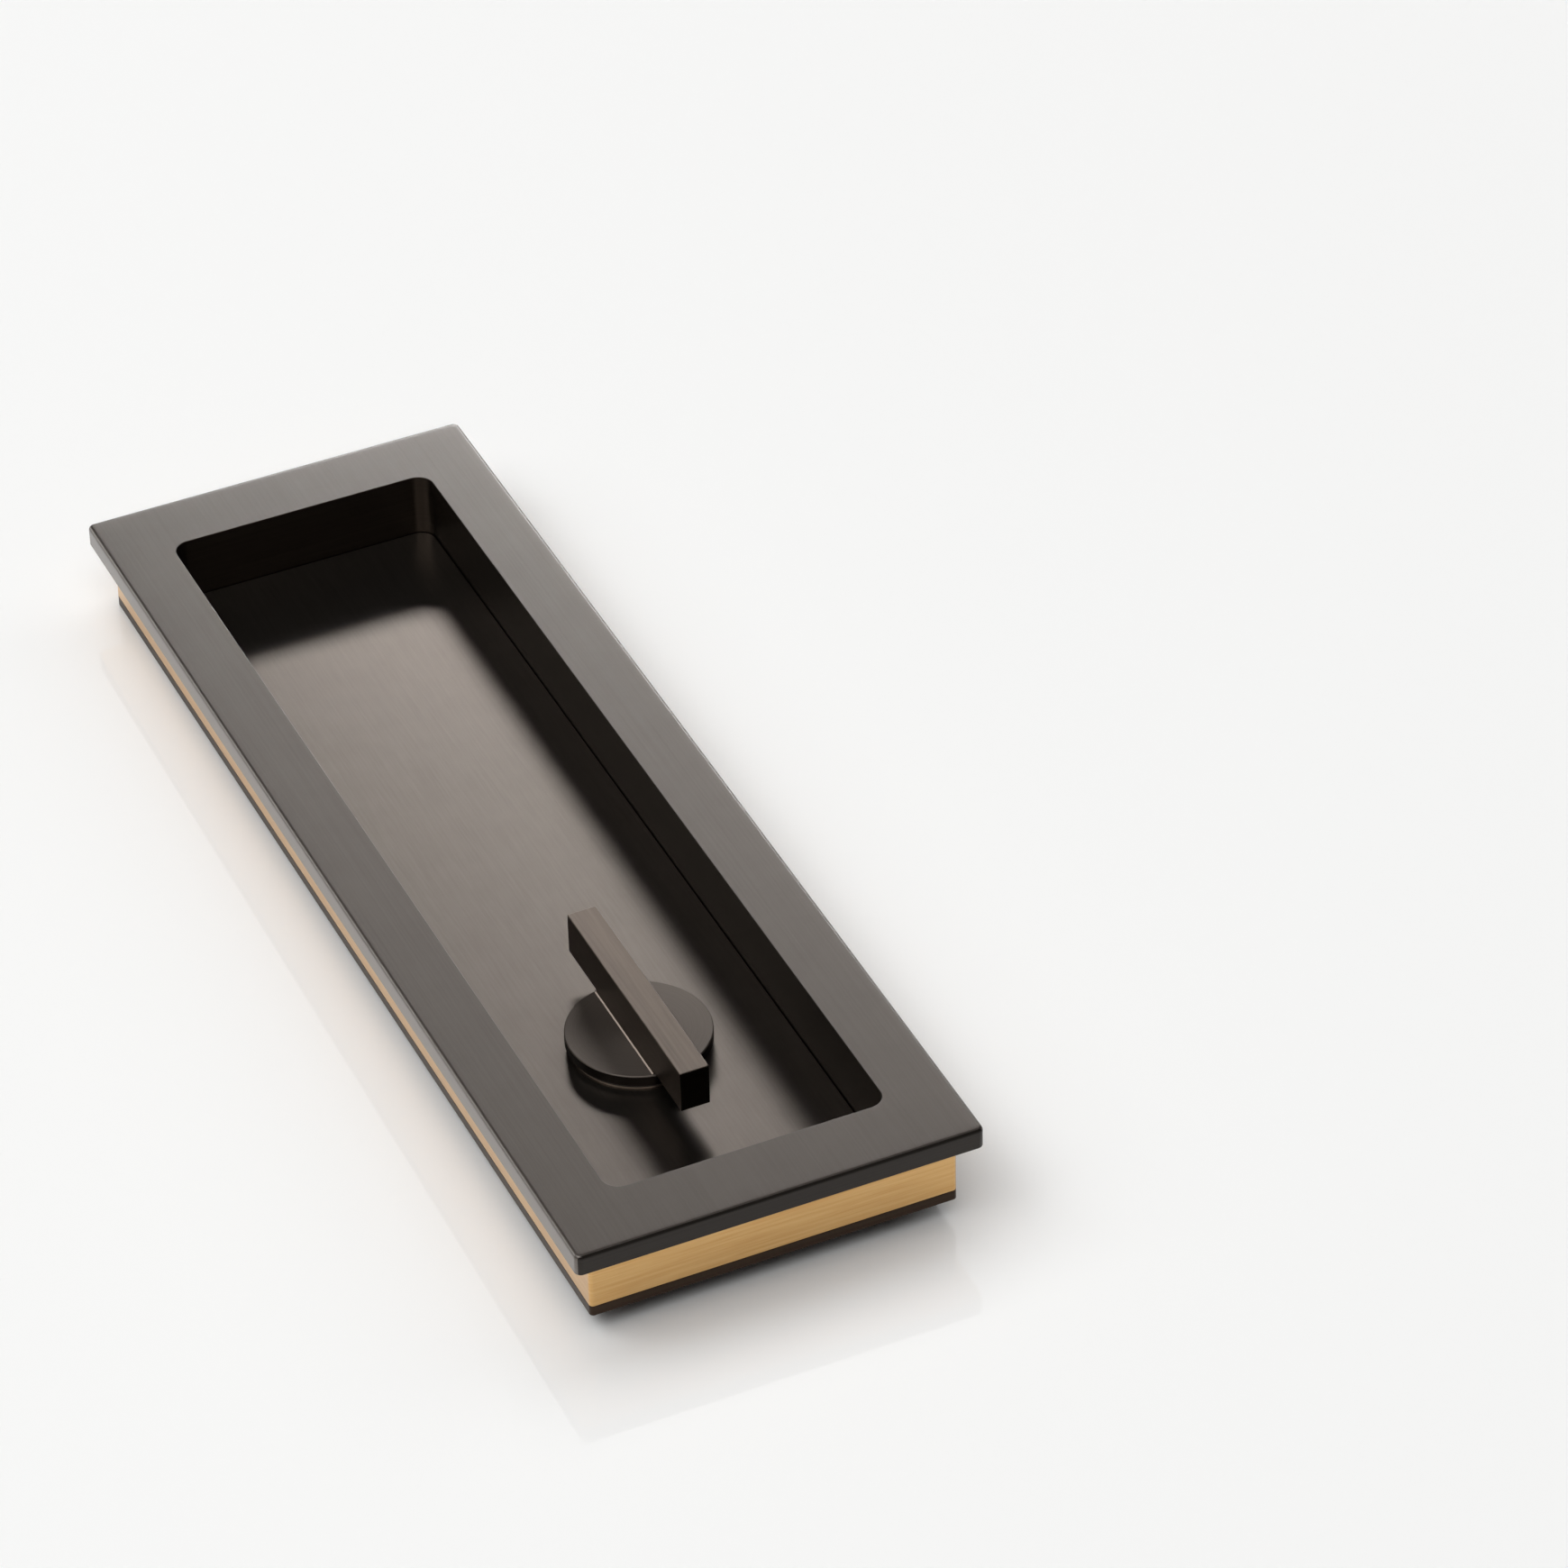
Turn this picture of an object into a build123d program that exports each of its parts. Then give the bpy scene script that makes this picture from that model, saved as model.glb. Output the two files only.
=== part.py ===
from build123d import *
import os

# Recessed flush pull with a privacy thumb turn, for a sliding door. Millimetres.
# The origin is the middle of the plane where the flange seats on the door's face.
# +Z points out of the door, +Y runs along the pull, away from the thumb turn.

# Frame: a flange and the recess walls, machined as one piece
FLANGE_LENGTH = 180.0
FLANGE_WIDTH = 59.0
FLANGE_THICKNESS = 3.2
FLANGE_OVERHANG = 2.8
FLANGE_CORNER_R = 1.0
FLANGE_EDGE_R = 0.6
WALL_DEPTH = 8.7
WALL_CORNER_R = 0.6
END_BORDER = 10.5
SIDE_BORDER = 9.25
RECESS_CORNER_R = 2.5
RECESS_EDGE_BREAK = 0.25

# Base plate: a rim under the walls and a raised pad that is the recess floor
RIM_THICKNESS = 1.6
PAD_HEIGHT = 1.9
PAD_CLEARANCE = 0.12
PAD_EDGE_BREAK = 0.15

# Screws that hold the base plate to the side walls, from behind
BASE_SCREW_D = 2.5
BASE_SCREW_HEAD_D = 4.6
BASE_SCREW_LENGTH = 6.5
BASE_SCREW_ROWS = 2
BASE_SCREW_SPACING = 110.0

# Tapped holes in the end walls for the bolts that hold the pull in the door
FIXING_CORE_D = 3.3
FIXING_DEPTH = 7.0
FIXING_PASS_D = 4.5

# Thumb turn: disc and journal in one turned piece
TURN_FROM_END = 36.5
DISC_D = 20.4
DISC_THICKNESS = 1.7
DISC_EDGE_BREAK = 0.2
JOURNAL_D = 10.0
JOURNAL_END_LAND = 0.4
SOCKET_WIDTH = 5.1
SOCKET_DEPTH = 6.0

# Blade that the fingers turn: a bar that overhangs the disc, on a foot with sloping sides
BLADE_WALL_GAP = 1.35
BLADE_BELOW_FACE = 0.35
BLADE_WIDTH = 4.3
BLADE_EDGE_BREAK = 0.15
FOOT_HEIGHT = 0.45
FOOT_SLOPE_HEIGHT = 0.3
FOOT_SPREAD = 0.35
FOOT_INSET = 0.5

# Screws that hold the blade, from under the disc
BLADE_SCREW_D = 2.0
BLADE_SCREW_HEAD_D = 3.6
BLADE_SCREW_LENGTH = 5.5

# Bush that the journal turns in, with its flange on the recess floor
BUSH_FLANGE_D = 19.2
BUSH_FLANGE_THICKNESS = 0.5
BUSH_BARREL_D = 14.0
BUSH_STAND_OUT = 0.1
RUNNING_CLEARANCE = 0.04

# Ring nut that draws the bush down, sunk in the back of the base plate
NUT_WALL = 2.5
NUT_THICKNESS = 1.5
NUT_BELOW_BACK = 0.1
NUT_SLOTS = 4
NUT_SLOT_WIDTH = 2.5
NUT_SLOT_DEPTH = 1.2

# Washers and retaining ring on the journal
THRUST_WASHER_D = 19.6
THRUST_WASHER_THICKNESS = 0.5
SPRING_WASHER_D = 16.0
SPRING_WASHER_THICKNESS = 0.4
SPRING_WASHER_RISE = 0.2
PLAIN_WASHER_D = 16.0
PLAIN_WASHER_THICKNESS = 0.5
RING_THICKNESS = 0.8
RING_WIDTH = 1.8
RING_GROOVE_DEPTH = 0.3
RING_GAP = 4.0
RING_EAR_R = 1.3
RING_EAR_HOLE_R = 0.5
WASHER_CLEARANCE = 0.2

# Clearances and screw details that the pieces share
FIT_CLEARANCE = 0.1
CLOSE_CLEARANCE = 0.05
SCREW_SLOT_WIDTH = 0.6
SCREW_SLOT_DEPTH = 0.5

# Levels that follow from the sizes above
FACE_Z = FLANGE_THICKNESS
WALL_END_Z = -WALL_DEPTH
FLOOR_Z = WALL_END_Z + PAD_HEIGHT
BASE_BACK_Z = WALL_END_Z - RIM_THICKNESS
BUSH_TOP_Z = FLOOR_Z + BUSH_FLANGE_THICKNESS
DISC_UNDER_Z = BUSH_TOP_Z + THRUST_WASHER_THICKNESS
DISC_TOP_Z = DISC_UNDER_Z + DISC_THICKNESS
BLADE_LOW_Z = DISC_TOP_Z + FOOT_HEIGHT
BLADE_TOP_Z = FACE_Z - BLADE_BELOW_FACE
NUT_END_Z = BASE_BACK_Z + NUT_BELOW_BACK
NUT_SEAT_Z = NUT_END_Z + NUT_THICKNESS
BUSH_END_Z = BASE_BACK_Z - BUSH_STAND_OUT
SPRING_END_Z = BUSH_END_Z - SPRING_WASHER_RISE - SPRING_WASHER_THICKNESS
WASHER_END_Z = SPRING_END_Z - PLAIN_WASHER_THICKNESS
RING_END_Z = WASHER_END_Z - RING_THICKNESS
JOURNAL_END_Z = RING_END_Z - JOURNAL_END_LAND

# Places that follow from the sizes above
WALL_WIDTH = FLANGE_WIDTH - 2 * FLANGE_OVERHANG
WALL_LENGTH = FLANGE_LENGTH - 2 * FLANGE_OVERHANG
RECESS_WIDTH = FLANGE_WIDTH - 2 * SIDE_BORDER
RECESS_LENGTH = FLANGE_LENGTH - 2 * END_BORDER
SIDE_WALL_X = (RECESS_WIDTH + WALL_WIDTH) / 4
END_WALL_Y = (RECESS_LENGTH + WALL_LENGTH) / 4
TURN_Y = TURN_FROM_END - RECESS_LENGTH / 2
JOURNAL_R = JOURNAL_D / 2
WASHER_BORE_R = JOURNAL_R + WASHER_CLEARANCE
GROOVE_R = JOURNAL_R - RING_GROOVE_DEPTH
NUT_R = BUSH_BARREL_D / 2 + NUT_WALL
BLADE_LENGTH = RECESS_WIDTH - 2 * BLADE_WALL_GAP
BLADE_SCREW_FROM_AXIS = (JOURNAL_R + DISC_D / 2) / 2


def block(width, length, corner_r, low_z, high_z):
    """Upright block with rounded corners, centred on the origin in plan."""
    outline = RectangleRounded(width, length, corner_r)
    return extrude(Plane.XY.offset(low_z) * outline, high_z - low_z)


def rod(radius, low_z, high_z, x=0.0, y=0.0):
    """Upright round rod."""
    return extrude(Plane.XY.offset(low_z) * Pos(x, y) * Circle(radius), high_z - low_z)


def turned(points):
    """Solid of revolution about Z from a closed outline of radius and height pairs."""
    outline = [(radius, 0, height) for radius, height in points]
    return revolve(make_face(Polyline(*outline, close=True)), Axis.Z)


def ring(inner_r, outer_r, low_z, high_z):
    """Flat round ring on the turn's axis."""
    return Pos(0, TURN_Y) * (rod(outer_r, low_z, high_z) - rod(inner_r, low_z, high_z))


def top_edges(solid):
    """Edges of a solid's highest face."""
    return solid.edges().group_by(Axis.Z)[-1]


def screw_outline(diameter, head_d, length, clearance=0.0):
    """Countersunk screw, head down on z = 0, enlarged by a clearance for its hole."""
    shank_r = diameter / 2 + clearance
    head_r = head_d / 2 + clearance
    cone_end = head_r - shank_r
    tip = length + clearance
    return turned([(0, 0), (head_r, 0), (shank_r, cone_end), (shank_r, tip), (0, tip)])


def slotted_screw(diameter, head_d, length):
    """Countersunk screw with a straight driver slot."""
    slot = Pos(0, 0, SCREW_SLOT_DEPTH / 2) * Box(head_d, SCREW_SLOT_WIDTH, SCREW_SLOT_DEPTH)
    return screw_outline(diameter, head_d, length) - slot


def screw_hole(diameter, head_d, length):
    """Hole for a countersunk screw whose head lies flush."""
    return screw_outline(diameter, head_d, length, CLOSE_CLEARANCE)


def base_screw_places():
    """Middle of each base plate screw's head, in the back of the rim."""
    middle_row = (BASE_SCREW_ROWS - 1) / 2
    rows = [(row - middle_row) * BASE_SCREW_SPACING for row in range(BASE_SCREW_ROWS)]
    return [Pos(side * SIDE_WALL_X, y, BASE_BACK_Z) for side in (-1, 1) for y in rows]


def blade_screw_places():
    """Middle of each blade screw's head, in the underside of the disc."""
    return [Pos(0, TURN_Y + side * BLADE_SCREW_FROM_AXIS, DISC_UNDER_Z) for side in (-1, 1)]


def base_screw_holes():
    """All the holes for the base plate's screws."""
    hole = screw_hole(BASE_SCREW_D, BASE_SCREW_HEAD_D, BASE_SCREW_LENGTH)
    return [place * hole for place in base_screw_places()]


def blade_screw_holes():
    """All the holes for the blade's screws."""
    hole = screw_hole(BLADE_SCREW_D, BLADE_SCREW_HEAD_D, BLADE_SCREW_LENGTH)
    return [place * hole for place in blade_screw_places()]


def make_frame():
    """Flange with a rounded top edge, walls behind it, and the recess through both."""
    flange = block(FLANGE_WIDTH, FLANGE_LENGTH, FLANGE_CORNER_R, 0, FACE_Z)
    flange = fillet(top_edges(flange), FLANGE_EDGE_R)
    walls = block(WALL_WIDTH, WALL_LENGTH, WALL_CORNER_R, WALL_END_Z, 0)
    recess = block(RECESS_WIDTH, RECESS_LENGTH, RECESS_CORNER_R, WALL_END_Z, FACE_Z)
    frame = flange + walls - recess
    face = frame.faces().sort_by(Axis.Z)[-1]
    frame = chamfer(face.inner_wires()[0].edges(), RECESS_EDGE_BREAK)
    for end in (-1, 1):
        frame -= rod(FIXING_CORE_D / 2, WALL_END_Z, WALL_END_Z + FIXING_DEPTH, 0, end * END_WALL_Y)
    return frame - base_screw_holes()


def make_base_plate():
    """Rim under the walls, raised pad for the recess floor, and the turn's hole with its sunk seat."""
    pad_width = RECESS_WIDTH - 2 * PAD_CLEARANCE
    pad_length = RECESS_LENGTH - 2 * PAD_CLEARANCE
    pad = block(pad_width, pad_length, RECESS_CORNER_R - PAD_CLEARANCE, BASE_BACK_Z, FLOOR_Z)
    pad = chamfer(top_edges(pad), PAD_EDGE_BREAK)
    plate = pad + block(WALL_WIDTH, WALL_LENGTH, WALL_CORNER_R, BASE_BACK_Z, WALL_END_Z)
    plate -= rod(BUSH_BARREL_D / 2 + FIT_CLEARANCE, BASE_BACK_Z, FLOOR_Z, 0, TURN_Y)
    plate -= rod(NUT_R + FIT_CLEARANCE, BASE_BACK_Z, NUT_SEAT_Z, 0, TURN_Y)
    for end in (-1, 1):
        plate -= rod(FIXING_PASS_D / 2, BASE_BACK_Z, WALL_END_Z, 0, end * END_WALL_Y)
    return plate - base_screw_holes()


def make_base_plate_screws():
    """All the base plate's screws."""
    screw = slotted_screw(BASE_SCREW_D, BASE_SCREW_HEAD_D, BASE_SCREW_LENGTH)
    return Part() + [place * screw for place in base_screw_places()]


def make_turn_bush():
    """Bearing bush: a thin flange on the recess floor and a barrel through the base plate."""
    bore_r = JOURNAL_R + RUNNING_CLEARANCE
    flange = ring(bore_r, BUSH_FLANGE_D / 2, FLOOR_Z, BUSH_TOP_Z)
    return flange + ring(bore_r, BUSH_BARREL_D / 2, BUSH_END_Z, FLOOR_Z)


def make_bush_nut():
    """Round nut with spanner slots in its rim."""
    nut = ring(BUSH_BARREL_D / 2 + CLOSE_CLEARANCE, NUT_R, NUT_END_Z, NUT_SEAT_Z)
    slot = Pos(NUT_R, 0, NUT_SEAT_Z) * Box(2 * NUT_SLOT_DEPTH, NUT_SLOT_WIDTH, 2 * NUT_THICKNESS)
    for place in PolarLocations(0, NUT_SLOTS):
        nut -= Pos(0, TURN_Y) * place * slot
    return nut


def make_thrust_washer():
    """Plain plastic washer that the disc slides on."""
    return ring(WASHER_BORE_R, THRUST_WASHER_D / 2, BUSH_TOP_Z, DISC_UNDER_Z)


def make_turn_disc():
    """Disc and journal, with a groove for the retaining ring and a square socket for the lock's spindle."""
    disc = rod(DISC_D / 2, DISC_UNDER_Z, DISC_TOP_Z)
    disc = chamfer(top_edges(disc), DISC_EDGE_BREAK)
    disc += rod(JOURNAL_R, WASHER_END_Z, DISC_UNDER_Z)
    disc += rod(GROOVE_R, RING_END_Z, WASHER_END_Z)
    disc += rod(JOURNAL_R, JOURNAL_END_Z, RING_END_Z)
    socket = Plane.XY.offset(JOURNAL_END_Z) * Rectangle(SOCKET_WIDTH, SOCKET_WIDTH)
    disc -= extrude(socket, SOCKET_DEPTH)
    return Pos(0, TURN_Y) * disc - blade_screw_holes()


def make_turn_blade():
    """Bar along the pull, standing on a foot whose long sides slope out to the disc."""
    plan = Plane.XY.offset(BLADE_LOW_Z) * Rectangle(BLADE_WIDTH, BLADE_LENGTH)
    bar = extrude(plan, BLADE_TOP_Z - BLADE_LOW_Z)
    bar = chamfer(top_edges(bar), BLADE_EDGE_BREAK)
    half = BLADE_WIDTH / 2
    slope_end = DISC_TOP_Z + FOOT_SLOPE_HEIGHT
    left = [(-half - FOOT_SPREAD, DISC_TOP_Z), (-half, slope_end), (-half, BLADE_LOW_Z)]
    right = [(-x, z) for x, z in reversed(left)]
    section = make_face(Polyline(*[(x, 0, z) for x, z in left + right], close=True))
    foot = extrude(section, DISC_D / 2 - FOOT_INSET, dir=(0, 1, 0), both=True)
    return Pos(0, TURN_Y) * (bar + foot) - blade_screw_holes()


def make_blade_screws():
    """Both of the blade's screws."""
    screw = slotted_screw(BLADE_SCREW_D, BLADE_SCREW_HEAD_D, BLADE_SCREW_LENGTH)
    return Part() + [place * screw for place in blade_screw_places()]


def make_spring_washer():
    """Conical washer that takes up the play: narrow end on the bush, wide end on the plain washer."""
    wide_r = SPRING_WASHER_D / 2
    outline = [
        (WASHER_BORE_R, SPRING_END_Z + SPRING_WASHER_RISE),
        (wide_r, SPRING_END_Z),
        (wide_r, SPRING_END_Z + SPRING_WASHER_THICKNESS),
        (WASHER_BORE_R, BUSH_END_Z),
    ]
    return Pos(0, TURN_Y) * turned(outline)


def make_plain_washer():
    """Flat washer under the spring washer."""
    return ring(WASHER_BORE_R, PLAIN_WASHER_D / 2, WASHER_END_Z, SPRING_END_Z)


def make_retaining_ring():
    """Open ring that snaps into the journal's groove, with two eyed ears at its gap."""
    inner_r = GROOVE_R + CLOSE_CLEARANCE
    outer_r = inner_r + RING_WIDTH
    ear_x = RING_GAP / 2 + RING_EAR_R
    snap = ring(inner_r, outer_r, RING_END_Z, WASHER_END_Z)
    for side in (-1, 1):
        snap += rod(RING_EAR_R, RING_END_Z, WASHER_END_Z, side * ear_x, TURN_Y + outer_r)
        snap -= rod(RING_EAR_HOLE_R, RING_END_Z, WASHER_END_Z, side * ear_x, TURN_Y + outer_r)
    gap = Box(RING_GAP, 2 * outer_r, 4 * RING_THICKNESS)
    return snap - Pos(0, TURN_Y + outer_r, RING_END_Z) * gap


PIECES = {
    "frame": make_frame,
    "base_plate": make_base_plate,
    "base_plate_screws": make_base_plate_screws,
    "turn_bush": make_turn_bush,
    "bush_nut": make_bush_nut,
    "thrust_washer": make_thrust_washer,
    "turn_disc": make_turn_disc,
    "turn_blade": make_turn_blade,
    "blade_screws": make_blade_screws,
    "spring_washer": make_spring_washer,
    "plain_washer": make_plain_washer,
    "retaining_ring": make_retaining_ring,
}

os.makedirs("parts", exist_ok=True)
for name, make in PIECES.items():
    export_step(make(), f"parts/{name}.step")
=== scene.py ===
"""Looks of a recessed flush pull with a thumb turn: surfaces, finishes, studio and camera."""
import logging
import math
from dataclasses import dataclass, field
from enum import Enum

import bpy
import numpy as np
from mathutils import Matrix, Vector


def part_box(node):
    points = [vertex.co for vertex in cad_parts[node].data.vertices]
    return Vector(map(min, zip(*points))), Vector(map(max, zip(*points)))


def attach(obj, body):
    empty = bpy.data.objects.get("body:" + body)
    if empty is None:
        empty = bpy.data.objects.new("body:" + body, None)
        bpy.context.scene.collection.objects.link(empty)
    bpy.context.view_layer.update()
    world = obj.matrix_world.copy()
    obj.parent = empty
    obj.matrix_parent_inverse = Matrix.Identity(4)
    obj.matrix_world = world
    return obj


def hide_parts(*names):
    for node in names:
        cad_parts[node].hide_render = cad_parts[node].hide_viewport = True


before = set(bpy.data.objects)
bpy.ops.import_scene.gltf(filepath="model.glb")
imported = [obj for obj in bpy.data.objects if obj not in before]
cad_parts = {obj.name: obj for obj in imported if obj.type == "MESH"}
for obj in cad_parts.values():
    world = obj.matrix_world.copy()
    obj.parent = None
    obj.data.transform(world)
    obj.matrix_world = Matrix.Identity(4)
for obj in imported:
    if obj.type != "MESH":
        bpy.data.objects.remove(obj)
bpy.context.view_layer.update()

LOG = logging.getLogger("flush_pull")
# Sizes are in millimetres, unless a name says otherwise
MM = 0.001

# Directions of a profile station: (half width, half length, corner radius, height)
OUTWARD = np.array([1.0, 1.0, 1.0, 0.0])
UPWARD = np.array([0.0, 0.0, 0.0, 1.0])

# Directions of a turned profile: (radius, height)
AWAY = np.array([1.0, 0.0])
RISE = np.array([0.0, 1.0])

# Steps of a quarter turn, for a rounded edge and for a rounded corner in plan
EDGE_STEPS = 6
CORNER_STEPS = 10
# Points round a turned piece, and round the hole of a screw or bolt
ROUND_STEPS = 128
HOLE_STEPS = 48
# How far a shape that cuts a hole stands out of the piece
CUT_PAST = 1.0
# An edge that turns by more than this stays sharp to the eye
SHARP_ANGLE = math.radians(40.0)

# An area lamp of this many watts a square metre shows a brightness of 1
LAMP_WATTS = math.pi

# Detail of a noise that shows fine lines, and of a soft one
FINE_DETAIL = 3.0
SOFT_DETAIL = 2.0

# Sockets of a Mix node: the share, the two numbers, the two colours, and the colour that comes out
SHARE, NUMBER_A, NUMBER_B, COLOUR_A, COLOUR_B, MIXED = 0, 2, 3, 6, 7, 2


def linear(hex_colour: str) -> tuple[float, float, float, float]:
    """Turns an sRGB hex colour into linear light.

    Args:
        hex_colour: six hex digits after a hash sign.

    Returns:
        Red, green and blue in linear light, and an alpha of 1.
    """
    coded = np.array([int(hex_colour[i:i + 2], 16) for i in (1, 3, 5)]) / 255.0
    light = np.where(coded <= 0.04045, coded / 12.92, ((coded + 0.055) / 1.055) ** 2.4)
    return (*light.tolist(), 1.0)


def box_mm(node: str) -> tuple[np.ndarray, np.ndarray]:
    """Reads a solid's box from the frame.

    Args:
        node: name of the solid's node.

    Returns:
        Its lowest and its highest corner, in millimetres.
    """
    low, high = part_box(node)
    return np.array(low) / MM, np.array(high) / MM


def bend(corner: np.ndarray, arrive: np.ndarray, leave: np.ndarray, radius: float) -> np.ndarray:
    """Rounds one corner of a profile.

    The points are corner + radius * (arrive * (sin t - 1) + leave * (1 - cos t)), for t from 0 to a
    quarter turn, so that the line arrives and leaves along the two directions.

    Args:
        corner: the sharp corner.
        arrive: direction of the line that comes to the corner.
        leave: direction of the line that goes on from it.
        radius: radius of the rounding, in millimetres.

    Returns:
        The points of the rounding, one a row.
    """
    turn = np.linspace(0.0, np.pi / 2, EDGE_STEPS + 1)[:, None]
    return corner + radius * (arrive * (np.sin(turn) - 1) + leave * (1 - np.cos(turn)))


def rectangle_rings(stations: np.ndarray, centre_y: float = 0.0) -> np.ndarray:
    """Carries a profile round a rectangle with rounded corners.

    Each corner is a quarter circle about a centre that lies one radius in from both sides:
    x = sign * (half width - radius) + radius * cos(angle), and y likewise with the half length.

    Args:
        stations: rows of half width, half length, corner radius and height.
        centre_y: place of the rectangle's middle along the pull.

    Returns:
        Points by station and by place round the ring.
    """
    half_x, half_y, radius, height = (column[:, None] for column in stations.T)
    quarter = np.repeat(np.arange(4) * np.pi / 2, CORNER_STEPS + 1)
    angle = quarter + np.tile(np.linspace(0.0, np.pi / 2, CORNER_STEPS + 1), 4)
    sign_x = np.sign(np.cos(quarter + np.pi / 4))
    sign_y = np.sign(np.sin(quarter + np.pi / 4))
    x = sign_x * (half_x - radius) + radius * np.cos(angle)
    y = sign_y * (half_y - radius) + radius * np.sin(angle) + centre_y
    return np.stack([x, y, np.broadcast_to(height, x.shape)], axis=-1)


def turned_rings(profile: np.ndarray, centre: tuple[float, float], steps: int = ROUND_STEPS) -> np.ndarray:
    """Turns a profile about an upright axis: x = radius * cos(angle), y = radius * sin(angle).

    Args:
        profile: rows of radius and height.
        centre: place of the axis.
        steps: number of points round the axis.

    Returns:
        Points by row of the profile and by place round the ring.
    """
    radius, height = (column[:, None] for column in profile.T)
    angle = np.linspace(0.0, 2 * np.pi, steps, endpoint=False)
    x = centre[0] + radius * np.cos(angle)
    y = centre[1] + radius * np.sin(angle)
    return np.stack([x, y, np.broadcast_to(height, x.shape)], axis=-1)


def add_surface(name: str, rings: np.ndarray, closed: bool) -> bpy.types.Object:
    """Makes a mesh of a grid of points whose rings close on themselves.

    Args:
        name: name of the piece.
        rings: points by ring and by place round the ring, in millimetres.
        closed: whether the last ring joins the first. If not, both ends get a flat cap.

    Returns:
        The new object, at the origin.
    """
    rows, columns, _ = rings.shape
    row = np.arange(rows if closed else rows - 1)[:, None] * columns
    next_row = (row + columns) % (rows * columns)
    place = np.arange(columns)
    following = (place + 1) % columns
    corners = [row + place, row + following, next_row + following, next_row + place]
    faces = np.stack(corners, axis=-1).reshape(-1, 4).tolist()
    if not closed:
        faces += [place[::-1].tolist(), (place + (rows - 1) * columns).tolist()]
    mesh = bpy.data.meshes.new(name)
    mesh.from_pydata((rings * MM).reshape(-1, 3).tolist(), [], faces)
    piece = bpy.data.objects.new(name, mesh)
    bpy.context.scene.collection.objects.link(piece)
    return piece


class Carving(Enum):
    """What a tool shape does to a piece."""

    CUT = "DIFFERENCE"
    JOIN = "UNION"


def carve(piece: bpy.types.Object, tools: list[bpy.types.Object], carving: Carving) -> None:
    """Cuts the tools' shapes out of a piece, or joins them to it, and removes the tools.

    Args:
        piece: the piece to work on.
        tools: closed shapes.
        carving: whether they are cut out or joined on.
    """
    for tool in tools:
        step = piece.modifiers.new(tool.name, "BOOLEAN")
        step.operation = carving.value
        step.solver = "EXACT"
        step.object = tool
    plain = piece.data
    piece.data = bpy.data.meshes.new_from_object(piece.evaluated_get(bpy.context.evaluated_depsgraph_get()))
    piece.modifiers.clear()
    bpy.data.meshes.remove(plain)
    for tool in tools:
        bpy.data.meshes.remove(tool.data)
    piece.data.name = piece.name


def smooth(piece: bpy.types.Object) -> None:
    """Shades roundings smoothly and keeps flat faces flat: each normal leans to the larger face.

    Args:
        piece: the piece to shade.
    """
    piece.data.shade_smooth()
    piece.data.set_sharp_from_angle(angle=SHARP_ANGLE)
    step = piece.modifiers.new("flat_faces", "WEIGHTED_NORMAL")
    step.keep_sharp = True


def add_node(
    tree: bpy.types.NodeTree, kind: str, inputs: dict | None = None, **settings: object
) -> bpy.types.Node:
    """Adds a shader node with its settings, values and links.

    Args:
        tree: the tree that gets the node.
        kind: the node's type.
        inputs: value or source socket for each input, by name or number.
        settings: the node's own properties.

    Returns:
        The new node.
    """
    node = tree.nodes.new(kind)
    for name, value in settings.items():
        setattr(node, name, value)
    for name, value in (inputs or {}).items():
        if isinstance(value, bpy.types.NodeSocket):
            tree.links.new(value, node.inputs[name])
        else:
            node.inputs[name].default_value = value
    return node


def new_material(name: str) -> tuple[bpy.types.Material, bpy.types.NodeTree]:
    """Makes an empty node material.

    Args:
        name: name of the finish.

    Returns:
        The material and its node tree.
    """
    material = bpy.data.materials.new(name)
    material.use_nodes = True
    material.node_tree.nodes.clear()
    return material, material.node_tree


class Grain(Enum):
    """Way that the brush lines run: how far a line reaches in X, Y and Z, 1 being its full length."""

    ALONG = (0.0, 1.0, 0.0)
    ROUND = (1.0, 1.0, 0.0)


class Smear(Enum):
    """Way that a reflection spreads most. The third part keeps it off a face's own normal."""

    ACROSS = (1.0, 0.0, 0.02)
    ALONG = (0.0, 1.0, 0.02)


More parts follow.
